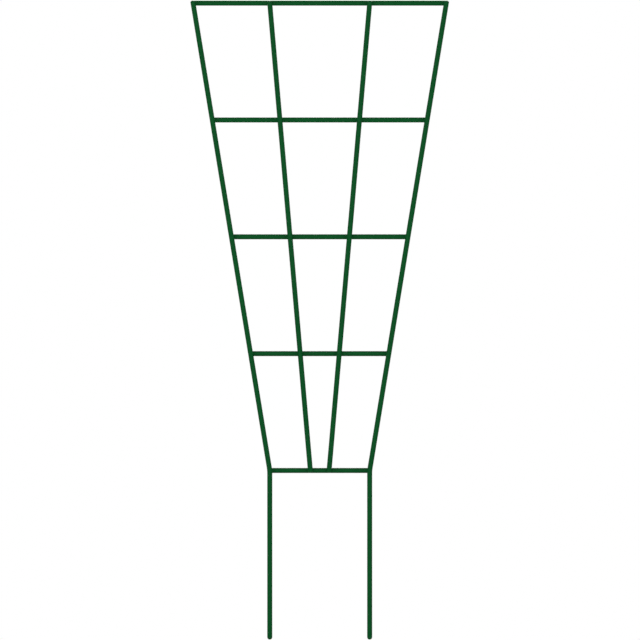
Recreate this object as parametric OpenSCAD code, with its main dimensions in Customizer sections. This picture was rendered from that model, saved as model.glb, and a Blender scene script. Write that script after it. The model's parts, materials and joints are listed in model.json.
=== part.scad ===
// Espalier frame: a fan of round steel tube on two legs.
//
// Four uprights stand in the front layer and five level rails cross behind them. The two outer
// uprights bend at the foot rail into vertical legs, which are pushed into the ground. Each crossing
// is welded, and a moulded plug closes each open end of a tube.
//
// Millimetres, +Z up, front towards -Y. The origin is on the plane that the leg tips reach, midway
// between the legs and midway between the two layers of tube.

/* [Frame] */
// Height of the frame, from the leg tips to the top of the top rail
frame_h = 1500; // [1200:5:1900]
// Height of the foot rail's axis above the leg tips
leg_h = 397; // [250:0.5:550]
// Width of the fan at the top rail, between the outer uprights' axes
top_w = 594.5; // [420:0.5:760]
// Distance between the axes of the two legs
leg_w = 234.5; // [140:0.5:330]
// Distance between the inner uprights' axes at the top rail
inner_top_w = 234.5; // [120:0.5:380]
// Distance between the inner uprights' axes at the foot rail
inner_foot_w = 44; // [30:0.5:100]

/* [Tube] */
// Outside diameter of the tube
tube_d = 12; // [9:0.5:14]
// Thickness of the tube's wall
tube_wall = 1; // [0.7:0.1:1.5]
// Radius of the bend above each leg, to the tube's axis
bend_r = 100; // [60:5:200]
// How far the tube's surface draws in around the bend
bend_draw = 0.05; // [0.03:0.01:0.15]

/* [Welds] */
// Depth that each rail is pressed into an upright's outline at a crossing
weld_set = 0.4; // [0.2:0.05:0.6]
// Radius of the weld around each crossing's contact
weld_r = 4.5; // [3.5:0.1:5]

/* [Plugs] */
// Height of a plug's domed head on the rails and the uprights
head_h = 2.5; // [1.5:0.1:3.5]
// How far a plug's head stays behind the outer side of the tube that it reaches
head_inset = 0.1; // [0.05:0.05:0.5]
// Length of a plug's stem, inside the tube
stem_l = 14; // [8:0.5:30]
// Thickness of the wall around a stem's hollow
stem_wall = 1.2; // [0.8:0.1:2]
// Gap between a stem and the tube's bore
stem_gap = 0.5; // [0.3:0.05:1]
// Number of sealing ribs around a stem
rib_count = 3; // [1:1:4]
// Thickness of a sealing rib
rib_t = 1; // [0.6:0.1:1.5]
// Clearance between a sealing rib and the tube's bore
rib_fit = 0.05; // [0.02:0.01:0.2]

/* [Hidden] */
// Facets around a tube, and per turn of the bend, whose arc is only a small part of a turn
tube_fn = 64;
bend_fn = 360;
$fn = tube_fn;
// Colour of the coated tubes and welds, and of the moulded plugs
coat_green = "#14502a";
plug_green = "#174a2b";
// How far a cut runs past the surface that it opens
overrun = 1;
// Length of bent tube that is housed inside each straight next to it
bend_lap = 0.5;

RAILS = ["foot_rail", "lower_rail", "middle_rail", "upper_rail", "top_rail"];
// Left is towards -X and right is towards +X, as seen from the front
SIDES = [-1, 1];

bore_d = tube_d - 2 * tube_wall;
// The layers' axes: the uprights in front, the rails behind, pressed together by the weld set
layer_gap = tube_d - weld_set;
upright_y = -layer_gap / 2;
rail_y = layer_gap / 2;
// Diameter around a tube's axis that holds all the welds on it
span_d = layer_gap + 2 * (weld_r + overrun);

// The fan, between the axes of the foot rail and the top rail
fan_h = frame_h - tube_d / 2 - leg_h;
rail_pitch = fan_h / (len(RAILS) - 1);
lean = atan((top_w - leg_w) / 2 / fan_h);
inner_lean = atan((inner_top_w - inner_foot_w) / 2 / fan_h);
// A tube's end runs this far past the axis of the tube that it crosses, to leave room for the plug's head
end_run = tube_d / 2 - head_inset - head_h;
inner_l = fan_h / cos(inner_lean) + 2 * end_run;

// A leg's tip is a full half ball, and the leg is cut square above it
tip_h = tube_d / 2;
// The bend is tangent to the leg and to the leaning part, whose axes meet on the foot rail's axis
bend_tangent = bend_r * tan(lean / 2);
bend_z = leg_h - bend_tangent;
bend_lap_angle = atan(bend_lap / bend_r);
slant_l = fan_h / cos(lean) - bend_tangent + end_run;

stem_d = bore_d - 2 * stem_gap;
rib_pitch = stem_l / (rib_count + 1);

function rail_z(i) = leg_h + i * rail_pitch;
// Distances between the axes of the outer uprights, and of the inner ones, at rail i
function outer_w(i) = leg_w + (top_w - leg_w) * i / (len(RAILS) - 1);
function inner_w(i) = inner_foot_w + (inner_top_w - inner_foot_w) * i / (len(RAILS) - 1);
function side_name(side) = side < 0 ? "left" : "right";

// Places its children on the right-hand side, or mirrored on the left
module on_side(side) {
    if (side < 0) mirror([1, 0, 0]) children();
    else children();
}

// Frames of the tubes: each puts +Z along the tube's axis and the origin at one end of a straight
module at_leg(side) on_side(side) translate([leg_w / 2, upright_y, tip_h]) children();

module at_bend(side) on_side(side) translate([leg_w / 2 + bend_r, upright_y, bend_z]) children();

module at_slant(side) at_bend(side) rotate([0, lean, 0]) translate([-bend_r, 0, 0]) children();

module at_inner(side)
    on_side(side)
        translate([inner_foot_w / 2, upright_y, leg_h])
            rotate([0, inner_lean, 0]) translate([0, 0, -end_run]) children();

module at_rail_end(i, side)
    on_side(side) translate([outer_w(i) / 2 + end_run, rail_y, rail_z(i)]) rotate([0, 90, 0]) children();

// A rod of diameter d along a tube's axis that runs past both of the tube's ends
module outer_rod(side, d, past) {
    at_leg(side) translate([0, 0, -past]) cylinder(d = d, h = bend_z - tip_h + past);
    at_bend(side)
        rotate([90, 0, 0]) rotate([0, 0, 180 - lean - bend_lap_angle])
            rotate_extrude(angle = lean + 2 * bend_lap_angle, $fn = bend_fn)
                translate([bend_r, 0]) circle(d = d - 2 * bend_draw, $fn = tube_fn);
    at_slant(side) cylinder(d = d, h = slant_l + past);
}

module inner_rod(side, d, past)
    at_inner(side) translate([0, 0, -past]) cylinder(d = d, h = inner_l + 2 * past);

module rail_rod(i, d, past)
    translate([0, rail_y, rail_z(i)])
        rotate([0, 90, 0]) cylinder(d = d, h = outer_w(i) + 2 * (end_run + past), center = true);

// An outer upright: one tube, bent at the foot rail into a vertical leg
module outer_upright(side)
    color(coat_green) difference() {
        outer_rod(side, tube_d, 0);
        outer_rod(side, bore_d, overrun);
    }

// An inner upright: a straight tube that leans outwards from the foot rail to the top rail
module inner_upright(side)
    color(coat_green) difference() {
        inner_rod(side, tube_d, 0);
        inner_rod(side, bore_d, overrun);
    }

// A rail: a level tube with a shallow saddle where it is pressed onto each upright
module rail(i)
    color(coat_green) difference() {
        rail_rod(i, tube_d, 0);
        rail_rod(i, bore_d, overrun);
        for (side = SIDES) {
            outer_rod(side, tube_d, weld_r);
            inner_rod(side, tube_d, weld_r);
        }
    }

// Thick rods, wide enough to hold a whole weld, that end where the tubes end
module rail_span(i) rail_rod(i, span_d, 0);

module outer_span(side)
    at_slant(side) translate([0, 0, -leg_h]) cylinder(d = span_d, h = leg_h + slant_l);

module inner_span(side) inner_rod(side, span_d, 0);

// A weld at distance x along a rail: a ball of metal around the contact, without what the rail and the
// upright (the first child) take up, and no longer than the rail and the upright's span (the second child)
module weld(i, x)
    intersection() {
        difference() {
            translate([x, 0, rail_z(i)]) sphere(r = weld_r);
            rail_rod(i, tube_d, weld_r);
            children(0);
        }
        rail_span(i);
        children(1);
    }

// The four welds of a rail: collars that fill the crevice around each contact
module rail_welds(i)
    color(coat_green)
        for (side = SIDES) {
            weld(i, side * outer_w(i) / 2) {
                outer_rod(side, tube_d, weld_r);
                outer_span(side);
            }
            weld(i, side * inner_w(i) / 2) {
                inner_rod(side, tube_d, weld_r);
                inner_span(side);
            }
        }

// Outline of a domed head: a cap of a ball that meets the tube's outside, on the seat at zero height
module head_outline(dome_h) {
    ball_r = (pow(tube_d / 2, 2) + pow(dome_h, 2)) / (2 * dome_h);
    intersection() {
        translate([0, dome_h - ball_r]) circle(r = ball_r);
        square([tube_d, dome_h]);
    }
}

// A moulded plug: a domed head on the tube's cut end, and a hollow ribbed stem in its bore
module plug(dome_h)
    color(plug_green) rotate_extrude() {
        head_outline(dome_h);
        difference() {
            union() {
                translate([0, -stem_l]) square([stem_d / 2, stem_l]);
                for (n = [1 : rib_count])
                    translate([0, -n * rib_pitch - rib_t / 2]) square([bore_d / 2 - rib_fit, rib_t]);
            }
            translate([0, -stem_l - overrun])
                square([stem_d / 2 - stem_wall, stem_l - stem_wall + overrun]);
        }
    }

module leg_tip(side) at_leg(side) rotate([180, 0, 0]) plug(tip_h);

module outer_top_plug(side) at_slant(side) translate([0, 0, slant_l]) plug(head_h);

module inner_top_plug(side) at_inner(side) translate([0, 0, inner_l]) plug(head_h);

module inner_foot_plug(side) at_inner(side) rotate([180, 0, 0]) plug(head_h);

module rail_plug(i, side) at_rail_end(i, side) plug(head_h);

for (side = SIDES) {
    outer_upright(side);
    inner_upright(side);
    leg_tip(side);
    outer_top_plug(side);
    inner_top_plug(side);
    inner_foot_plug(side);
}
for (i = [0 : len(RAILS) - 1]) {
    rail(i);
    rail_welds(i);
    for (side = SIDES)
        rail_plug(i, side);
}
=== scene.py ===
# %% [markdown]
# Espalier frame
#
# A fan of green steel tube on two legs. A gardener pushes the legs into the ground and ties a plant to
# the fan, so that the plant grows flat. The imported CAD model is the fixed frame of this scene: it has
# every size and place already, so the cells below measure it wherever they can, instead of repeating
# its numbers. Each solid then gets the skin, the edges and the finish of the real piece.

# %% Load the frame
import json
import math
import random
from collections import namedtuple

import bmesh
import bpy
import numpy as np
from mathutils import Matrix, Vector


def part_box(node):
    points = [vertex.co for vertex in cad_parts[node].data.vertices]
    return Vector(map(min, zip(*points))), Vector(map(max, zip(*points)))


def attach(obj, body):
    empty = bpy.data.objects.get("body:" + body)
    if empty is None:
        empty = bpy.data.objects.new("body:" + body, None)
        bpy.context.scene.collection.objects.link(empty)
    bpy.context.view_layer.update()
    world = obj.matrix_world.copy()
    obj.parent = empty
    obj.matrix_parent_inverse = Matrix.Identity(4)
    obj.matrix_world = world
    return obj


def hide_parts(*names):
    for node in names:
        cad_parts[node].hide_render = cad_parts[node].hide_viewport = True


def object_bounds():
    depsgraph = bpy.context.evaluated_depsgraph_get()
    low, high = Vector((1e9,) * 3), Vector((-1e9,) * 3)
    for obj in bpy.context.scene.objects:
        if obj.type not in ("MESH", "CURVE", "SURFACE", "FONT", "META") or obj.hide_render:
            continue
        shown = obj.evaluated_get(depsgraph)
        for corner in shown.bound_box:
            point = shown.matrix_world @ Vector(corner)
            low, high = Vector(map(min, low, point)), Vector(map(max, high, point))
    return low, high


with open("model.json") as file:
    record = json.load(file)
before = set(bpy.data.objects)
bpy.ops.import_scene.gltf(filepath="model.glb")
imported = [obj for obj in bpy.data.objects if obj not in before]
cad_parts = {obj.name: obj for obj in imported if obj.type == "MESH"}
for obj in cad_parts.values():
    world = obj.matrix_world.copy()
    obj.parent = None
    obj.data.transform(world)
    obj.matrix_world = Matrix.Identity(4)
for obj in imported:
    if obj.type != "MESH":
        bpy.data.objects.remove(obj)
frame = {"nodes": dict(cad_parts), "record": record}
cad_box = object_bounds()
MM = 0.001
lowest, highest = cad_box
frame_height = highest.z - lowest.z
print(f"{len(frame['nodes'])} solids, {highest.x - lowest.x:.4f} m wide and {frame_height:.4f} m tall")

# %% [markdown]
# Camera
#
# The photograph is a flat front view: both legs are upright in it, and the tube is as wide at the top
# as at the foot. A camera with perspective would need to stand very far away for that, so an
# orthographic one is used. Three places in the picture, in pixels, give its width and its place: the
# frame's top edge, the leg tips and the middle between the legs.

# %% Aim the camera
IMAGE_PIXELS = 640
TOP_ROW = 0.56
TIP_ROW = 639.6
MIDDLE_COLUMN = 319.72
CAMERA_AWAY = 3.0

metres_per_pixel = frame_height / (TIP_ROW - TOP_ROW)
camera_data = bpy.data.cameras.new("front_view")
camera_data.type = "ORTHO"
camera_data.ortho_scale = IMAGE_PIXELS * metres_per_pixel
camera = bpy.data.objects.new("front_view", camera_data)
camera.location = (
    (IMAGE_PIXELS / 2 - MIDDLE_COLUMN) * metres_per_pixel,
    -CAMERA_AWAY,
    highest.z - (IMAGE_PIXELS / 2 - TOP_ROW) * metres_per_pixel,
)
camera.rotation_euler = (math.radians(90), 0, 0)
bpy.context.scene.collection.objects.link(camera)
bpy.context.scene.camera = camera
bpy.context.scene.view_settings.view_transform = "Standard"
print(f"one pixel is {metres_per_pixel / MM:.3f} mm")

# %% [markdown]
# Light
#
# The background is pure white, as in a white room with soft boxes. The room could be modelled, but the
# world does it with less: rays that the camera sees, straight or in a gloss, find pure white, and all
# other rays find the dimmer light of the room. So the background is white without any more light on the
# tubes.

# %% Surround the frame with a white room
ROOM_LEVEL = 0.30
WHITE = (1.0, 1.0, 1.0, 1.0)
WHITE_LEVEL = 1.0


def add_node(tree, kind, inputs=(), **settings):
    """Adds a shader node. An input's value is a number, a colour, or another node's output to link."""
    node = tree.nodes.new(f"ShaderNode{kind}")
    for name, value in settings.items():
        setattr(node, name, value)
    for name, value in dict(inputs).items():
        if isinstance(value, bpy.types.NodeSocket):
            tree.links.new(value, node.inputs[name])
        else:
            node.inputs[name].default_value = value
    return node


def math_node(tree, operation, first, second, **settings):
    """Adds a sum, product or other operation on two values, and returns its output."""
    return add_node(tree, "Math", {0: first, 1: second}, operation=operation, **settings).outputs[0]


def seen_rays(tree):
    """An output that is 1 on rays from the camera, in a gloss or through glass, and 0 on the others."""
    path = add_node(tree, "LightPath").outputs
    seen = math_node(tree, "ADD", path["Is Camera Ray"], path["Is Glossy Ray"])
    return math_node(tree, "ADD", seen, path["Is Transmission Ray"], use_clamp=True)


room = bpy.data.worlds.new("white_room")
room.use_nodes = True
tree = room.node_tree
tree.nodes.clear()
dim = add_node(tree, "Background", {"Color": WHITE, "Strength": ROOM_LEVEL})
pure = add_node(tree, "Background", {"Color": WHITE, "Strength": WHITE_LEVEL})
both = add_node(tree, "MixShader", {0: seen_rays(tree), 1: dim.outputs[0], 2: pure.outputs[0]})
add_node(tree, "OutputWorld", {"Surface": both.outputs[0]})
bpy.context.scene.world = room
print(f"the room lights every side to {ROOM_LEVEL:.2f} of white")

# %% [markdown]
# In the photograph each tube is a little lighter along its middle than along its sides, and the
# uprights throw no shadow on the rails. So the main soft box stands close to the camera's own direction.
# A wide one to each side and one behind keep the other views light. A lamp's level is written as the
# share of white that it gives a white card at the frame's middle that faces it, because that is easier
# to judge than watts. What reaches one side adds up to about 1, so a colour renders about as it is
# written.

# %% Place the soft boxes
WIDE_BOX = 2.4
MAIN_BOX = 1.4
frame_middle = (lowest + highest) / 2


def soft_box(name, place, level, size=WIDE_BOX):
    """Adds a square lamp that faces the frame's middle and lights a white card there to this level."""
    away = Vector(place) - frame_middle
    lamp_data = bpy.data.lights.new(name, "AREA")
    lamp_data.size = size
    lamp_data.energy = level * math.pi**2 * away.length_squared
    lamp = bpy.data.objects.new(name, lamp_data)
    lamp.location = place
    lamp.rotation_euler = away.to_track_quat("Z", "Y").to_euler()
    lamp.visible_camera = False
    bpy.context.scene.collection.objects.link(lamp)
    print(f"{name}: {lamp_data.energy:.0f} W, {away.length:.1f} m away")


soft_box("main_soft_box", place=(-0.5, -3.6, 1.35), level=0.40, size=MAIN_BOX)
soft_box("left_soft_box", place=(-2.8, -1.8, 2.2), level=0.26)
soft_box("right_soft_box", place=(2.8, -1.8, 2.2), level=0.26)
soft_box("back_soft_box", place=(0.5, 3.4, 2.0), level=0.62)

# %% [markdown]
# Floor
#
# The leg tips stand on a pale floor, which takes the frame's soft shadow. Far from the frame it turns
# into the white of the room, so that no horizon shows. A backdrop sheet could do the same, but it
# would stand in the way of the views from behind.

# %% Lay the floor
FLOOR_R = 9.0
FLOOR_SIDES = 96
FLOOR_GREY = (0.92, 0.92, 0.92, 1.0)
FADE_FROM = 0.8
FADE_TO = 3.0
WHITE_NEAR = 0.35

floor_mesh = bpy.data.meshes.new("floor")
disc = bmesh.new()
bmesh.ops.create_circle(disc, cap_ends=True, radius=FLOOR_R, segments=FLOOR_SIDES)
disc.to_mesh(floor_mesh)
disc.free()
floor = bpy.data.objects.new("floor", floor_mesh)
floor.location.z = lowest.z
bpy.context.scene.collection.objects.link(floor)

floor_paint = bpy.data.materials.new("pale_floor")
floor_paint.use_nodes = True
tree = floor_paint.node_tree
tree.nodes.clear()
place = add_node(tree, "TexCoord").outputs["Object"]
from_middle = add_node(tree, "VectorMath", {0: place}, operation="LENGTH").outputs["Value"]
fade_range = {"From Min": FADE_FROM, "From Max": FADE_TO, "To Min": WHITE_NEAR}
fade = add_node(tree, "MapRange", {"Value": from_middle, **fade_range}, interpolation_type="SMOOTHSTEP")
white_share = math_node(tree, "MULTIPLY", fade.outputs["Result"], seen_rays(tree))
dull = add_node(tree, "BsdfDiffuse", {"Color": FLOOR_GREY})
glow = add_node(tree, "Emission", {"Color": WHITE, "Strength": WHITE_LEVEL})
both = add_node(tree, "MixShader", {0: white_share, 1: dull.outputs[0], 2: glow.outputs[0]})
add_node(tree, "OutputMaterial", {"Surface": both.outputs[0]})
floor_mesh.materials.append(floor_paint)
print(f"floor of {2 * FLOOR_R:.0f} m at height {lowest.z:.3f} m")

# %% [markdown]
# The tubes' axes
#
# Every piece of this object sits on the axis of a tube, so the axes are measured first. The record's
# mount gives the tube's radius and the leg's place. Plugs are round, so their boxes give the depth and
# height of each rail. The corners of a tube's end, taken once each, have their mean on the axis, and the
# nearest of them lie on the bore.

# %% Measure the tubes
SIDES = ("left", "right")
RAILS = ("foot_rail", "lower_rail", "middle_rail", "upper_rail", "top_rail")
END_REACH = 20 * MM
DECIMALS = 6

leg = next(mount for mount in frame["record"]["mounts"] if mount["name"] == "right_leg")
tube_r = leg["dims"]["r_mm"] * MM
leg_x, upright_y, _ = leg["pos_m"]


def end_ring(node, top):
    """The corners around the upper or the lower end of an upright, each once."""
    corners = [tuple(corner.co) for corner in frame["nodes"][node].data.vertices]
    corners = np.unique(np.round(corners, DECIMALS), axis=0)
    heights = corners[:, 2]
    if top:
        return corners[heights > heights.max() - END_REACH]
    return corners[heights < heights.min() + END_REACH]


def end_middle(node, top):
    """The place on an upright's axis where its upper or its lower end is cut."""
    return end_ring(node, top).mean(axis=0)


def rail_ends(rail):
    """The places on a rail's axis where it is cut, left and right."""
    low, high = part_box(f"{rail}_left_plug")
    cut_low, cut_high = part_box(rail)
    y, z = (low.y + high.y) / 2, (low.z + high.z) / 2
    return np.array((cut_low.x, y, z)), np.array((cut_high.x, y, z))


ring = end_ring("right_inner_upright", True)
bore_r = float(np.linalg.norm(ring - ring.mean(axis=0), axis=1).min())
rail_y, foot_rail_z = rail_ends("foot_rail")[0][1:]
print(f"tube {2 * tube_r / MM:.2f} mm across with a bore of {2 * bore_r / MM:.2f} mm")
print(f"layers at {upright_y / MM:.2f} and {rail_y / MM:.2f} mm")

# %% [markdown]
# A tube is kept as its length and a function that gives, for distances from the tube's start, the
# places on its axis and the way that the axis runs there. Inner uprights and rails are straight. An
# outer upright is a leg, an arc and a leaning part: the arc's radius follows from how far below the
# corner the leg stops being straight, which is where the mount's wall ends.

# %% Describe the axes
BACK = np.array((0.0, 1.0, 0.0))
Tube = namedtuple("Tube", "length at bend")


def unit(vector):
    """The same direction, with length 1."""
    return vector / np.linalg.norm(vector)


def straight_tube(start, end):
    """A tube from start to end."""
    way = unit(end - start)

    def at(distances):
        return start + np.outer(distances, way), np.tile(way, (len(distances), 1))

    return Tube(float(np.linalg.norm(end - start)), at, None)


def bent_tube(start, corner, end, tangent):
    """A tube with one bend, which starts and ends a tangent's length from the corner."""
    lower, upper = unit(corner - start), unit(end - corner)
    lean = math.acos(lower @ upper)
    radius = tangent / math.tan(lean / 2)
    aside = unit(upper - lower * (lower @ upper))
    bend_start = np.linalg.norm(corner - start) - tangent
    bend_end = bend_start + radius * lean

    def at(distances):
        distances = np.asarray(distances)[:, None]
        turn = np.clip((distances - bend_start) / radius, 0, lean)
        ways = lower * np.cos(turn) + aside * np.sin(turn)
        arc = radius * (lower * np.sin(turn) + aside * (1 - np.cos(turn)))
        before = lower * np.minimum(distances, bend_start)
        after = ways * np.maximum(distances - bend_end, 0)
        return start + before + arc + after, ways

    print(f"bend of {math.degrees(lean):.2f} degrees, radius {radius / MM:.1f} mm")
    return Tube(float(bend_end + np.linalg.norm(end - corner) - tangent), at, (bend_start, bend_end))


# %% [markdown]
# With these two functions each tube takes one line. The corner of an outer upright lies straight above
# its leg, at the height of the foot rail.

# %% Make the list of tubes
tubes = {}
for side, sign in zip(SIDES, (-1, 1)):
    outer = f"{side}_upright"
    inner = f"{side}_inner_upright"
    foot_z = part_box(outer)[0].z
    foot = np.array((sign * leg_x, upright_y, foot_z))
    corner = np.array((sign * leg_x, upright_y, foot_rail_z))
    wall_end_z = foot_z + leg["dims"]["length_mm"] * MM
    tubes[outer] = bent_tube(foot, corner, end_middle(outer, True), foot_rail_z - wall_end_z)
    tubes[inner] = straight_tube(end_middle(inner, False), end_middle(inner, True))
for rail in RAILS:
    tubes[rail] = straight_tube(*rail_ends(rail))
UPRIGHTS = [name for name in tubes if name.endswith("upright")]
print({name: round(tube.length, 4) for name, tube in tubes.items()})

# %% [markdown]
# The crossings
#
# Each of the four uprights crosses each of the five rails, with the upright in front. The tubes are
# pressed into each other a little before they are welded. The welds, the rails' saddles and the finer
# parts of the skins all sit at these 20 places, so they are found once.

# %% Find the crossings
SEARCH_STEP = 0.1 * MM
Crossing = namedtuple("Crossing", "rail upright middle on_rail on_upright")


def cross(rail, upright):
    """Where an upright crosses a rail: the place between the layers, and how far along each it is."""
    start = tubes[rail].at([0.0])[0][0]
    distances = np.arange(0, tubes[upright].length, SEARCH_STEP)
    places = tubes[upright].at(distances)[0]
    on_upright = float(np.interp(start[2], places[:, 2], distances))
    middle = tubes[upright].at([on_upright])[0][0]
    middle[1] = (upright_y + rail_y) / 2
    return Crossing(rail, upright, middle, float(middle[0] - start[0]), on_upright)


crossings = [cross(rail, upright) for rail in RAILS for upright in UPRIGHTS]
end_run = min(crossing.on_rail for crossing in crossings)
print(f"{len(crossings)} crossings, the tubes run {end_run / MM:.2f} mm past the outermost ones")

# %% [markdown]
# Finish: what the materials share
#
# The frame is powder coated: a dry paint is drawn onto the steel by a charge and then melted into a
# satin skin. Four effects are used by more than one material, so each is a node group that is built
# once and placed with its own values. All of them read the place on the object itself, so they stay
# put in every view.
#
# The first is the coat's orange peel. The powder melts into small round humps, about two thirds of a
# millimetre apart, on a broader swell. A picture of a real coat would tie it to one scale, so two layers
# of noise make it: they never repeat, and each finish sets its own number of humps.

# %% Group: orange peel
def new_group(name, inputs, outputs):
    """Starts a node group with named sockets, and returns it with its own input and output nodes."""
    group = bpy.data.node_groups.new(name, "ShaderNodeTree")
    for in_out, sockets in (("INPUT", inputs), ("OUTPUT", outputs)):
        for socket, kind in sockets.items():
            group.interface.new_socket(socket, in_out=in_out, socket_type=f"NodeSocket{kind}")
    given = group.nodes.new("NodeGroupInput")
    result = group.nodes.new("NodeGroupOutput")
    print(f"group {name}: {list(inputs)} to {list(outputs)}")
    return group, given.outputs, result.inputs


def noise(tree, scale, detail):
    """Soft noise over the object's own space, with about scale humps in a metre."""
    place = add_node(tree, "TexCoord").outputs["Object"]
    return add_node(tree, "TexNoise", {"Vector": place, "Scale": scale, "Detail": detail}).outputs["Fac"]


SWELL_SCALE = 0.3
SWELL_WEIGHT = 0.2
SWELL_DETAIL = 0.0
HUMP_DETAIL = 1.0
PEEL_FROM = 0.3
PEEL_TO = 0.7

orange_peel, given, result = new_group("orange_peel", {"Scale": "Float"}, {"Height": "Float"})
small = noise(orange_peel, given["Scale"], HUMP_DETAIL)
humps = math_node(orange_peel, "MULTIPLY", small, 1 - SWELL_WEIGHT)
broad_scale = math_node(orange_peel, "MULTIPLY", given["Scale"], SWELL_SCALE)
broad = noise(orange_peel, broad_scale, SWELL_DETAIL)
swell = math_node(orange_peel, "MULTIPLY", broad, SWELL_WEIGHT)
both = math_node(orange_peel, "ADD", humps, swell)
height = add_node(orange_peel, "MapRange", {"Value": both, "From Min": PEEL_FROM, "From Max": PEEL_TO})
orange_peel.links.new(height.outputs["Result"], result["Height"])

# %% [markdown]
# The second is drift. A coat's thickness wanders along the tube and its shade wanders with it, by an
# amount that the eye feels more than it sees. The noise moves only the colour's value, so the hue stays.

# %% Group: colour drift
DRIFT_FROM = 0.3
DRIFT_TO = 0.7
DRIFT_DETAIL = 3.0

colour_drift, given, result = new_group(
    "colour_drift", {"Colour": "Color", "Amount": "Float", "Scale": "Float"}, {"Colour": "Color"}
)
wander = add_node(
    colour_drift,
    "MapRange",
    {
        "Value": noise(colour_drift, given["Scale"], DRIFT_DETAIL),
        "From Min": DRIFT_FROM,
        "From Max": DRIFT_TO,
        "To Min": math_node(colour_drift, "SUBTRACT", 1.0, given["Amount"]),
        "To Max": math_node(colour_drift, "ADD", 1.0, given["Amount"]),
    },
)
shaded = add_node(
    colour_drift, "HueSaturation", {"Value": wander.outputs["Result"], "Color": given["Colour"]}
)
colour_drift.links.new(shaded.outputs["Color"], result["Colour"])

# %% [markdown]
# The third is dust. A trace of it settles on whatever faces up, such as the rails' tops and the plugs'
# domes. It could be painted by hand, but the surface's own direction already says where it lies.

# %% Group: settled dust
LEVEL_FROM = 0.25
DUST_DETAIL = 4.0

settled_dust, given, result = new_group(
    "settled_dust", {"Amount": "Float", "Scale": "Float"}, {"Mask": "Float"}
)
facing = add_node(settled_dust, "NewGeometry").outputs["Normal"]
upward = add_node(settled_dust, "SeparateXYZ", {"Vector": facing}).outputs["Z"]
level = add_node(settled_dust, "MapRange", {"Value": upward, "From Min": LEVEL_FROM}).outputs["Result"]
patches = math_node(settled_dust, "MULTIPLY", level, noise(settled_dust, given["Scale"], DUST_DETAIL))
mask = math_node(settled_dust, "MULTIPLY", patches, given["Amount"])
settled_dust.links.new(mask, result["Mask"])

# %% [markdown]
# The fourth is the coat in the crevices. The charge that draws the powder on can't reach far into the
# gap between two tubes, so the skin around each weld stays thinner and a little rougher. Its colour
# there is also painted darker, which is painted shade for the little light that gets between the
# tubes. How deep in the crevice a point lies is stored on the mesh as an attribute, and noise breaks its
# edge up. The noise has a mean of a half, so half is added to it, and what it multiplies keeps its mean.

# %% Group: thinner coat and painted crevice shade
CREVICE_NAME = "crevice"
THIN_DETAIL = 3.0
NOISE_MEAN = 0.5

# This mask makes the coat rougher, and it also darkens the colour: that darkening is painted shade in the
# crevices.
thin_coat_and_shade, given, result = new_group(
    "thin_coat_and_shade", {"Amount": "Float", "Scale": "Float"}, {"Mask": "Float"}
)
depth = add_node(thin_coat_and_shade, "Attribute", attribute_name=CREVICE_NAME).outputs["Fac"]
broken = math_node(thin_coat_and_shade, "ADD", noise(thin_coat_and_shade, given["Scale"], THIN_DETAIL), 1 - NOISE_MEAN)
mask = math_node(thin_coat_and_shade, "MULTIPLY", depth, broken)
mask = math_node(thin_coat_and_shade, "MULTIPLY", mask, given["Amount"])
mask = math_node(thin_coat_and_shade, "MINIMUM", mask, 1.0)
thin_coat_and_shade.links.new(mask, result["Mask"])

# %% [markdown]
# Both finishes are then put together in the same way. A material starts as Blender's general shader, and
# whatever changes over the surface is linked to its sockets: groups by their own values, colours mixed
# by a mask, and a roughness that swings a little, because no skin is equally dull all over. The mixing
# node has sockets of the same name for numbers and for colours, so those for colours go by number.

# %% Helpers for the finishes
COLOUR_A = 6
COLOUR_B = 7
COLOUR_RESULT = 2
DULLER = 0.3
ROUGH_SWING = 0.1
SWING_DETAIL = 2.0


def place_group(tree, group, **values):
    """Places a node group in a material with its own values, and returns its first output."""
    return add_node(tree, "Group", values, node_tree=group).outputs[0]


def blend_colours(tree, share, first, second):
    """A colour between two others, by a mask."""
    inputs = {"Factor": share, COLOUR_A: first, COLOUR_B: second}
    return add_node(tree, "Mix", inputs, data_type="RGBA").outputs[COLOUR_RESULT]


def new_material(name, specular):
    """Starts a material, and returns it with its node tree and the inputs of its shader."""
    material = bpy.data.materials.new(name)
    material.use_nodes = True
    shader = material.node_tree.nodes["Principled BSDF"].inputs
    shader["Specular IOR Level"].default_value = specular
    return material, material.node_tree, shader


def roughness_of(tree, plain, swing_scale, *masks):
    """A roughness that swings softly around a plain value and rises under each mask."""
    swing = math_node(tree, "SUBTRACT", noise(tree, swing_scale, SWING_DETAIL), NOISE_MEAN)
    rough = math_node(tree, "ADD", math_node(tree, "MULTIPLY", swing, 2 * ROUGH_SWING), plain)
    for mask in masks:
        rough = math_node(tree, "ADD", rough, math_node(tree, "MULTIPLY", mask, DULLER))
    return rough


print(f"a mask can raise the roughness by {DULLER}, and it swings by {ROUGH_SWING}")

# %% [markdown]
# Green coat
#
# The tubes and the welds are coated in one go, so one function makes the coat for both. Only its
# orange peel differs: it is finer and shallower on the round tube than on the rough weld. Its hollows
# are a shade darker than its humps, because a little less light gets into them. The gloss of this green
# is weak in the photograph, where the tube's middle is hardly lighter than its sides, so the shader's
# specular level is low. That is set on the shader itself, because it is the same all over.

# %% Make the coat
COAT_GREEN = (0.0006, 0.0664, 0.0130, 1.0)
HOLLOW_GREEN = (0.0005, 0.0554, 0.0108, 1.0)
# Painted shade: the darker green that the crevices between the tubes are painted in.
CREVICE_SHADE_GREEN = (0.0032, 0.0515, 0.0125, 1.0)
DUST_GREY = (0.20, 0.19, 0.165, 1.0)
COAT_SPECULAR = 0.05
COAT_ROUGHNESS = 0.5
COAT_SWING_SCALE = 60.0
COAT_DRIFT = {"Amount": 0.07, "Scale": 18.0}
COAT_THINNING_AND_SHADE = {"Amount": 0.8, "Scale": 420.0}
COAT_DUST = {"Amount": 0.05, "Scale": 90.0}


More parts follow.
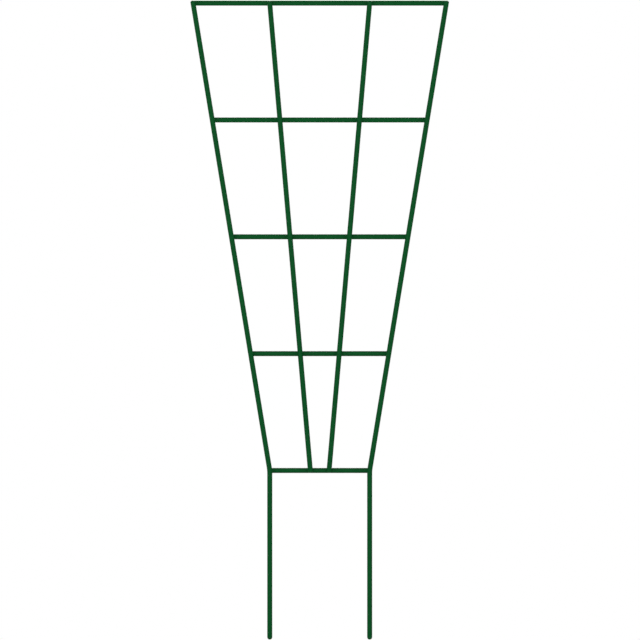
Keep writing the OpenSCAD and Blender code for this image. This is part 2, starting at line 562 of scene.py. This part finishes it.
def coat_material(name, peel_scale, peel_depth):
    """Satin green powder coat, whose orange peel has so many humps to a metre and is so deep."""
    material, tree, shader = new_material(name, COAT_SPECULAR)
    peel = place_group(tree, orange_peel, Scale=peel_scale)
    green = blend_colours(tree, peel, HOLLOW_GREEN, COAT_GREEN)
    green = place_group(tree, colour_drift, Colour=green, **COAT_DRIFT)
    thin_and_shade = place_group(tree, thin_coat_and_shade, **COAT_THINNING_AND_SHADE)
    dust = place_group(tree, settled_dust, **COAT_DUST)
    # The crevice mask blends in the darker green, which is painted shade, and it also raises the
    # roughness.
    green = blend_colours(tree, thin_and_shade, green, CREVICE_SHADE_GREEN)
    tree.links.new(blend_colours(tree, dust, green, DUST_GREY), shader["Base Color"])
    rough = roughness_of(tree, COAT_ROUGHNESS, COAT_SWING_SCALE, thin_and_shade, dust)
    tree.links.new(rough, shader["Roughness"])
    relief = add_node(tree, "Bump", {"Height": peel, "Distance": peel_depth})
    tree.links.new(relief.outputs["Normal"], shader["Normal"])
    print(f"material {name}: {peel_scale:.0f} humps to a metre, {peel_depth / MM:.2f} mm deep")
    return material


tube_coat = coat_material("green_coat_on_tube", peel_scale=1500.0, peel_depth=0.05 * MM)
weld_coat = coat_material("green_coat_on_weld", peel_scale=1300.0, peel_depth=0.06 * MM)

# %% [markdown]
# Green plastic
#
# The plugs are moulded polyethylene in a green near that of the coat. Next to the coat it looks waxy:
# rougher, with a fine grain from the mould's eroded steel. It shares drift and dust with the coat, and
# its grain is its own, so that stays in the material.

# %% Make the plastic
PLUG_GREEN = (0.0025, 0.0655, 0.0155, 1.0)
PLUG_SPECULAR = 0.1
PLUG_ROUGHNESS = 0.55
PLUG_SWING_SCALE = 300.0
PLUG_DRIFT = {"Amount": 0.1, "Scale": 140.0}
PLUG_DUST = {"Amount": 0.07, "Scale": 160.0}
GRAIN_SCALE = 2600.0
GRAIN_DETAIL = 2.0
GRAIN_DEPTH = 0.012 * MM

plug_plastic, tree, shader = new_material("green_plug_plastic", PLUG_SPECULAR)
green = place_group(tree, colour_drift, Colour=PLUG_GREEN, **PLUG_DRIFT)
dust = place_group(tree, settled_dust, **PLUG_DUST)
tree.links.new(blend_colours(tree, dust, green, DUST_GREY), shader["Base Color"])
tree.links.new(roughness_of(tree, PLUG_ROUGHNESS, PLUG_SWING_SCALE, dust), shader["Roughness"])
grain = noise(tree, GRAIN_SCALE, GRAIN_DETAIL)
relief = add_node(tree, "Bump", {"Height": grain, "Distance": GRAIN_DEPTH})
tree.links.new(relief.outputs["Normal"], shader["Normal"])
print(f"material {plug_plastic.name}: grain {GRAIN_DEPTH / MM:.3f} mm deep")

# %% [markdown]
# Skins of tube
#
# A tube is a wall around a bore. Its skin could be a curve with a bevel, but that has no bore, no cut
# ends and no places for saddles, so it is swept in mesh code. A small closed outline runs along the
# outside, over the filed lip at the far end, back through the bore and over the near lip, and every
# point of it becomes a ring of corners around the axis. The last ring joins the first, so
# the skin is closed.

# %% Outline of a tube's wall
LIP_R = 0.25 * MM
LIP_STEPS = 4
COARSE_STEP = 20 * MM


def stops_along(length, spots, reach, fine):
    """Distances along a tube: fine steps within reach of each spot, and coarse ones elsewhere."""
    evenly = np.linspace(0, length, int(length / COARSE_STEP) + 2)
    stops = [stop for stop in evenly if all(abs(stop - spot) > reach + fine for spot in spots)]
    for spot in spots:
        stops += list(np.arange(spot - reach, spot + reach + fine / 2, fine))
    return sorted(stops)


def wall_outline(length, stops, bore_stops):
    """Rows of distance and radius around a tube's wall: near lip, outside, far lip and bore."""
    turns = np.linspace(0, math.pi / 2, LIP_STEPS + 1)
    lip_depths = LIP_R * (1 - np.sin(turns))
    lip_radii = tube_r - LIP_R + LIP_R * np.cos(turns)
    near_lip = list(zip(lip_depths, lip_radii))[::-1]
    far_lip = list(zip(length - lip_depths, lip_radii))
    outside = [(stop, tube_r) for stop in stops if 2 * LIP_R < stop < length - 2 * LIP_R]
    bore = [(stop, bore_r) for stop in bore_stops[::-1]]
    return np.array(near_lip + outside + far_lip + bore)


# %% [markdown]
# Such tube is rolled from strip, and its seam is welded and shaved flat. Under the coat that leaves a
# faint flat along the whole tube. Drawing one column of corners in to the line between its neighbours
# makes that flat. The welder turns the seam away from the crossings and from the front.

# %% Sweep a wall along an axis
TUBE_SIDES = 48
SEAM_ANGLE = math.radians(15)
column_angle = 2 * math.pi / TUBE_SIDES


def sweep(tube, outline, seam_angle):
    """Rings of corners around a tube's axis, one for each row of the outline."""
    distances, radii = outline.T
    places, ways = tube.at(distances)
    across = np.cross(ways, BACK)
    angles = np.arange(TUBE_SIDES) * column_angle
    spokes = across[:, None] * np.cos(angles)[:, None] + BACK * np.sin(angles)[:, None]
    reach = np.repeat(radii[:, None], TUBE_SIDES, axis=1)
    seam_column = round(seam_angle / column_angle) % TUBE_SIDES
    reach[radii > bore_r, seam_column] *= math.cos(column_angle)
    return places[:, None] + spokes * reach[..., None]


def ring_faces(rings, columns, first=0):
    """Quads between each ring and the next, with the last ring joined to the first."""
    faces = []
    for ring in range(rings):
        here, there = first + ring * columns, first + (ring + 1) % rings * columns
        for column in range(columns):
            beside = (column + 1) % columns
            faces.append((here + column, here + beside, there + beside, there + column))
    return faces


# %% [markdown]
# Every piece is made the same way from its corners and faces: all faces turned outwards, shaded
# smoothly except over real edges, given its finish, put in place of the solids it stands for, which are
# hidden, and made to ride on the frame's one body.

# %% Turn corners and faces into a piece
EDGE_ANGLE = math.radians(38)


def make_piece(name, corners, faces, material, node):
    """Makes a closed piece that stands for a CAD node and rides on the frame."""
    mesh = bpy.data.meshes.new(name)
    mesh.from_pydata(np.reshape(corners, (-1, 3)).tolist(), [], faces)
    shape = bmesh.new()
    shape.from_mesh(mesh)
    bmesh.ops.recalc_face_normals(shape, faces=shape.faces)
    shape.to_mesh(mesh)
    shape.free()
    mesh.shade_smooth()
    mesh.set_sharp_from_angle(angle=EDGE_ANGLE)
    mesh.materials.append(material)
    piece = bpy.data.objects.new(name, mesh)
    bpy.context.scene.collection.objects.link(piece)
    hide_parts(node)
    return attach(piece, "root")


def paint_crevice(piece, depths):
    """Stores how deep in a crevice each corner lies, from 0 to 1, for the rougher coat and the painted
    shade there.
    """
    attribute = piece.data.attributes.new(CREVICE_NAME, "FLOAT", "POINT")
    attribute.data.foreach_set("value", np.ravel(depths).astype(np.float32))


# %% [markdown]
# When the model goes to another program, each finish is painted into a square picture, and the skin
# needs a flat pattern, such as a label has when it is soaked off. Made by Blender, the pattern of a
# tube is one long strip that is squeezed to fit, and that draws the orange peel out into streaks. So
# the outside is cut into strips that fill the square side by side at one scale. What plugs hide, the
# bore and the cut ends, shares one more strip.

# %% Unroll a tube's skin
PATTERN_NAME = "OFBake"
GUTTER = 0.02
FACE_CORNERS = 4


def inset(share):
    """The same share of a strip, with a gutter left free at both borders."""
    return GUTTER + (1 - 2 * GUTTER) * share


def cut_strips(outline, steps):
    """The strip that each step of an outline lies in, and the number of strips on the outside."""
    outside = outline[:, 1] > bore_r
    outside &= np.roll(outside, -1)
    outside_length = steps[outside].sum()
    count = round(math.sqrt(outside_length / (2 * math.pi * tube_r)))
    middles = np.cumsum(steps) - steps / 2
    return np.where(outside, middles / outside_length * count, count).astype(int), count


def unroll(piece, outline):
    """Gives a tube's skin its flat pattern: u across a strip, and v along it."""
    steps = np.linalg.norm(np.diff(outline, axis=0, append=outline[:1]), axis=1)
    along = np.concatenate(([0.0], np.cumsum(steps)))
    strip, count = cut_strips(outline, steps)
    starts = np.array([along[:-1][strip == index].min() for index in range(count + 1)])
    lengths = np.array([steps[strip == index].sum() for index in range(count + 1)])
    lengths[:count] = lengths[:count].max()
    corner = np.empty(len(piece.data.loops), dtype=np.int32)
    piece.data.loops.foreach_get("vertex_index", corner)
    # Faces come row by row, so a corner lies on its face's own row and column, or on the next of either
    row, column = np.divmod(np.arange(len(corner)) // FACE_CORNERS, TUBE_SIDES)
    across = 1 - (column + (corner % TUBE_SIDES != column)) / TUBE_SIDES
    upward = (along[row + (corner // TUBE_SIDES != row)] - starts[strip[row]]) / lengths[strip[row]]
    flat = np.column_stack(((strip[row] + inset(across)) / (count + 1), inset(upward)))
    pattern = piece.data.uv_layers.new(name=PATTERN_NAME)
    pattern.data.foreach_set("uv", flat.astype(np.float32).ravel())
    print(f"{piece.name}: outside in {count} strips of {lengths[0] / MM:.0f} mm")


# %% [markdown]
# The crevice around a crossing is deepest at the weld's toe and ends a few millimetres away from it.
# Only the side of a tube that faces the other layer lies in it.

# %% Measure the crevices
BEAD_R = 4.7 * MM
CREVICE_R = 9.0 * MM


def crevice_depths(corners, spots):
    """How deep each corner lies in the crevice around the nearest of these crossings."""
    depths = np.zeros(corners.shape[:-1])
    for crossing in spots:
        away = np.linalg.norm(corners - crossing.middle, axis=-1)
        depths = np.maximum(depths, np.clip((CREVICE_R - away) / (CREVICE_R - BEAD_R), 0, 1))
    return depths


# %% [markdown]
# Uprights
#
# Four tubes stand in the front layer. The outer two are bent above the leg, over a former that draws
# the wall in by a hair in the middle of the bend, so the skin's radius dips there.

# %% Make the uprights
BEND_DRAW = 0.05 * MM
BEND_STOPS = 17
UPRIGHT_REACH = 10 * MM
UPRIGHT_FINE = 2 * MM


def upright_skin(name):
    """Makes the coated skin of an upright."""
    tube = tubes[name]
    spots = [crossing for crossing in crossings if crossing.upright == name]
    stops = stops_along(tube.length, [spot.on_upright for spot in spots], UPRIGHT_REACH, UPRIGHT_FINE)
    bore_stops = [0.0, tube.length]
    if tube.bend:
        bore_stops[1:1] = list(np.linspace(*tube.bend, BEND_STOPS))
    outline = wall_outline(tube.length, stops, bore_stops)
    if tube.bend:
        along = np.clip((outline[:, 0] - tube.bend[0]) / (tube.bend[1] - tube.bend[0]), 0, 1)
        outline[:, 1] -= BEND_DRAW * np.sin(math.pi * along) ** 2
    corners = sweep(tube, outline, SEAM_ANGLE)
    faces = ring_faces(len(outline), TUBE_SIDES)
    piece = make_piece(f"{name}_coated", corners, faces, tube_coat, name)
    paint_crevice(piece, crevice_depths(corners, spots))
    unroll(piece, outline)
    print(f"{piece.name}: {len(outline)} rings, {len(faces)} faces")


for name in UPRIGHTS:
    upright_skin(name)

# %% [markdown]
# Rails
#
# Five level tubes lie behind the uprights. At each crossing the rail is pressed onto the upright, which
# leaves a shallow saddle in it. The saddle could be cut with a boolean, but moving the corners that
# would lie inside the upright onto its surface keeps the skin a clean grid.

# %% Surfaces of the two layers
NEAR_AXIS = 16 * MM


def upright_surface(crossing, x, z):
    """Depth of the upright's back at points seen from the front, or of its axis past its sides."""
    tube = tubes[crossing.upright]
    nearby = np.arange(-NEAR_AXIS, NEAR_AXIS, SEARCH_STEP) + crossing.on_upright
    axis = tube.at(nearby)[0]
    off_axis = np.min(np.hypot(x[..., None] - axis[:, 0], z[..., None] - axis[:, 2]), axis=-1)
    return upright_y + np.sqrt(np.maximum(tube_r**2 - off_axis**2, 0))


def rail_surface(crossing, z):
    """Depth of the rail's front at points seen from the front."""
    return rail_y - np.sqrt(np.maximum(tube_r**2 - (z - crossing.middle[2]) ** 2, 0))


# %% [markdown]
# A rail is then swept as an upright is, in fine steps near each crossing, so that the saddle has corners
# enough for its curve. A hair of a gap stays between the two skins.

# %% Make the rails
RAIL_REACH = 7 * MM
RAIL_FINE = 0.5 * MM
SADDLE_GAP = 0.01 * MM


def press_saddle(corners, crossing):
    """Moves the corners of a rail that would lie inside an upright back onto its surface."""
    near = np.abs(corners[..., 0] - crossing.middle[0]) < RAIL_REACH
    x, y, z = corners[near].T
    seat = upright_surface(crossing, x, z)
    on_upright = (seat > upright_y) & (y < rail_y)
    corners[near, 1] = np.where(on_upright, np.maximum(y, seat + SADDLE_GAP), y)


def rail_skin(name):
    """Makes the coated skin of a rail, with its saddles."""
    tube = tubes[name]
    spots = [crossing for crossing in crossings if crossing.rail == name]
    stops = stops_along(tube.length, [spot.on_rail for spot in spots], RAIL_REACH, RAIL_FINE)
    outline = wall_outline(tube.length, stops, [0.0, tube.length])
    corners = sweep(tube, outline, math.pi - SEAM_ANGLE)
    depths = crevice_depths(corners, spots)
    for crossing in spots:
        press_saddle(corners, crossing)
    faces = ring_faces(len(outline), TUBE_SIDES)
    piece = make_piece(f"{name}_coated", corners, faces, tube_coat, name)
    paint_crevice(piece, depths)
    unroll(piece, outline)
    print(f"{piece.name}: {len(outline)} rings, {len(faces)} faces")


for name in RAILS:
    rail_skin(name)

# %% [markdown]
# Welds
#
# A collar of weld fills the crevice around each contact. Seen along the depth it is a ring: its inner
# edge is where the tubes part, its two faces lie on the tubes, and its outer face has a low crown and
# the scales that a weld pool leaves as it moves on. A bump texture would leave its outline smooth, so
# the scales are in the mesh. Each weld wanders a little, from a seeded draw, because it is made by hand,
# and it stays inside the cut ends of the tubes.

# %% Shape of one weld
BEAD_INNER_R = 2.3 * MM
BEAD_CROWN = 0.2 * MM
BEAD_SINK = 0.05 * MM
BEAD_TURNS = 132
SCALES = 22
SCALE_DEPTH = 0.2 * MM
WANDER = 0.16 * MM
WANDER_LOBES = (2, 3)
EDGE_KEPT = 0.15 * MM
LEAST_OUTWARDS = 0.05
LIMIT_POWER = 10
SEED = 20

chance = random.Random(SEED)


def soft_limit(reach, room):
    """The smaller of a reach and the room for it, without a corner where they meet."""
    return (reach**-LIMIT_POWER + room**-LIMIT_POWER) ** (-1 / LIMIT_POWER)


def bead_reach(crossing, angles):
    """How far a weld reaches at each angle around the contact."""
    waves = [np.sin(lobes * angles + chance.uniform(0, 2 * math.pi)) for lobes in WANDER_LOBES]
    reach = BEAD_R + WANDER * np.mean(waves, axis=0)
    for name, distance in ((crossing.rail, crossing.on_rail), (crossing.upright, crossing.on_upright)):
        tube = tubes[name]
        way = tube.at([distance])[1][0]
        along = np.cos(angles) * way[0] + np.sin(angles) * way[2]
        for room, outwards in ((tube.length - distance, along), (distance, -along)):
            reach = soft_limit(reach, (room - EDGE_KEPT) / np.maximum(outwards, LEAST_OUTWARDS))
    return reach


# %% [markdown]
# The section of a weld is a small loop: out along the upright's back, over the crown to the rail, and
# in along the rail's front. Each of its points is a share of the way out and a share of the way from the
# upright to the rail, so one list of shares serves all welds.

# %% Corners of one weld
FACE_STEPS = 5
CROWN_STEPS = 9

faces_out = [(share, 0.0) for share in np.linspace(0, 1, FACE_STEPS)]
crown_up = [(1.0, rise) for rise in np.linspace(0, 1, CROWN_STEPS)[1:-1]]
faces_back = [(share, 1.0) for share in np.linspace(1, 0, FACE_STEPS)]
bead_section = np.array(faces_out + crown_up + faces_back)


def bead_corners(crossing):
    """Rings of corners of one weld, one ring for each angle around the contact."""
    angles = np.arange(BEAD_TURNS) * 2 * math.pi / BEAD_TURNS
    reach = bead_reach(crossing, angles)
    share, rise = bead_section.T
    grooves = 1 - np.abs(np.sin(SCALES / 2 * angles + chance.uniform(0, math.pi)))
    crown = (BEAD_CROWN - SCALE_DEPTH * grooves[:, None]) * np.sin(math.pi * rise)
    width = BEAD_INNER_R + (reach[:, None] - BEAD_INNER_R) * share + crown
    x = crossing.middle[0] + width * np.cos(angles)[:, None]
    z = crossing.middle[2] + width * np.sin(angles)[:, None]
    front = upright_surface(crossing, x, z) - BEAD_SINK
    back = rail_surface(crossing, z) + BEAD_SINK
    return np.stack((x, front + (back - front) * rise, z), axis=-1)


# %% [markdown]
# The four welds of a rail are one piece, as they are one node of the frame. The toes, where a weld meets
# the tubes, lie deepest in the crevice, and its crown lies free. So the rougher coat and the painted
# crevice shade are strongest at the toes.

# %% Make the welds
rows = len(bead_section)
toe = np.tile(1 - np.sin(math.pi * bead_section[:, 1]), BEAD_TURNS)
for rail in RAILS:
    collars = [bead_corners(crossing) for crossing in crossings if crossing.rail == rail]
    faces = []
    for index in range(len(collars)):
        faces += ring_faces(BEAD_TURNS, rows, index * BEAD_TURNS * rows)
    corners = np.array(collars)
    piece = make_piece(f"{rail}_beads", corners, faces, weld_coat, f"{rail}_welds")
    paint_crevice(piece, np.tile(toe, len(collars)))
    print(f"{piece.name}: {len(collars)} welds, {len(faces)} faces")

# %% [markdown]
# Plugs
#
# A moulded plug closes each end of a tube: a domed head on the cut end, or a half ball on a leg, and a
# hollow stem in the bore with ribs that grip it. All are turned from a half outline, as on a lathe. The
# small things make them plastic: the dimple where the sprue was, a rim with a soft edge, and the
# parting line of the mould down two sides of the head. The stem hides in the tube, so its few sizes are
# written here.

# %% Half outline of a plug
RIM_HEIGHT = 0.35 * MM
RIM_EDGE = 0.12 * MM
DIMPLE_R = 0.9 * MM
DIMPLE_DEPTH = 0.15 * MM
DIMPLE_STEPS = (0.35, 0.65, 0.88)
DIMPLE_POWER = 4
DOME_STEPS = 14
STEM_GAP = 0.5 * MM
STEM_WALL = 1.2 * MM
RIB_COUNT = 3
RIB_THICKNESS = 1.0 * MM
RIB_EDGE = 0.15 * MM
RIB_FIT = 0.05 * MM

stem_r = bore_r - STEM_GAP
rib_r = bore_r - RIB_FIT


def head_outline(head_height):
    """Rows of radius and height over a head, from the middle of its dimple to the stem."""
    rise = head_height - RIM_HEIGHT
    ball_r = (tube_r**2 + rise**2) / (2 * rise)
    widest = math.atan2(tube_r, ball_r - rise)

    def dome(radius):
        return head_height - ball_r + math.sqrt(ball_r**2 - radius**2)

    rows = [(0.0, dome(0.0) - DIMPLE_DEPTH)]
    for share in DIMPLE_STEPS:
        radius = share * DIMPLE_R
        rows.append((radius, dome(radius) - DIMPLE_DEPTH * (1 - share**DIMPLE_POWER)))
    for angle in np.linspace(math.asin(DIMPLE_R / ball_r), widest, DOME_STEPS):
        radius = ball_r * math.sin(angle)
        rows.append((radius, dome(radius)))
    return rows + [(tube_r, RIM_EDGE), (tube_r - RIM_EDGE, 0.0), (stem_r, 0.0)]


def stem_outline(stem_length):
    """Rows of radius and height down a ribbed stem and up into its hollow."""
    rows = []
    for rib in range(1, RIB_COUNT + 1):
        top = -rib * stem_length / (RIB_COUNT + 1) + RIB_THICKNESS / 2
        bottom = top - RIB_THICKNESS
        rows += [(stem_r, top), (rib_r - RIB_EDGE, top), (rib_r, top - RIB_EDGE)]
        rows += [(rib_r, bottom + RIB_EDGE), (rib_r - RIB_EDGE, bottom), (stem_r, bottom)]
    hollow_r = stem_r - STEM_WALL
    rows += [(stem_r, -stem_length), (hollow_r, -stem_length)]
    return rows + [(hollow_r, -STEM_WALL), (0.0, -STEM_WALL)]


# %% [markdown]
# The outline starts and ends on the axis, and a fan of triangles closes the plug there. All its other
# points become rings. Two opposite columns of the head are pushed out by a hair: the parting line.

# %% Turn an outline around an axis
PLUG_SIDES = 48
PARTING_RIDGE = 0.05 * MM


def turned_corners(outline, seat, way, turn):
    """Corners of a turned piece: the outline's first point, its rings, and its last point."""
    radii, heights = np.array(outline).T
    angles = np.arange(PLUG_SIDES) * 2 * math.pi / PLUG_SIDES + turn
    spokes = np.cross(way, BACK) * np.cos(angles)[:, None] + BACK * np.sin(angles)[:, None]
    reach = np.repeat(radii[:, None], PLUG_SIDES, axis=1)
    on_head = (heights > 0) & (radii > DIMPLE_R)
    for column in (0, PLUG_SIDES // 2):
        reach[on_head, column] += PARTING_RIDGE
    corners = seat + heights[:, None, None] * way + spokes * reach[..., None]
    return np.concatenate((corners[0, :1], corners[1:-1].reshape(-1, 3), corners[-1, :1]))


def turned_faces(rows):
    """Faces of a turned piece: a fan at each end and quads between the rings."""
    last = (rows - 2) * PLUG_SIDES + 1
    faces = []
    for column in range(PLUG_SIDES):
        beside = (column + 1) % PLUG_SIDES
        faces.append((0, 1 + beside, 1 + column))
        faces.append((last, last - PLUG_SIDES + column, last - PLUG_SIDES + beside))
        for here in range(1, last - PLUG_SIDES, PLUG_SIDES):
            there = here + PLUG_SIDES
            faces.append((here + column, here + beside, there + beside, there + column))
    return faces


# %% [markdown]
# The boxes of a rail and of its plug give the height of a head and the length of a stem. A leg's tip is
# a half ball, as high as the tube's radius. Each plug is pushed in by hand, so its parting line ends up
# at any angle.

# %% Make the plugs
low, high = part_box("foot_rail_right_plug")
cut_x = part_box("foot_rail")[1].x
head_height = high.x - cut_x
stem_length = cut_x - low.x


def ends_of(name):
    """The plugs at the start and the end of a tube."""
    if name in RAILS:
        return f"{name}_left_plug", f"{name}_right_plug"
    if "inner" in name:
        return f"{name}_foot_plug", f"{name}_top_plug"
    return name.replace("upright", "leg_tip"), f"{name}_top_plug"


for name, tube in tubes.items():
    places, ways = tube.at([0.0, tube.length])
    for node, seat, way in zip(ends_of(name), places, (-ways[0], ways[1])):
        height = tube_r if node.endswith("leg_tip") else head_height
        outline = head_outline(height) + stem_outline(stem_length)
        corners = turned_corners(outline, seat, way, chance.uniform(0, 2 * math.pi))
        faces = turned_faces(len(outline))
        piece = make_piece(f"{node}_moulded", corners, faces, plug_plastic, node)
        print(f"{piece.name}: {len(faces)} faces, head {height / MM:.2f} mm high")
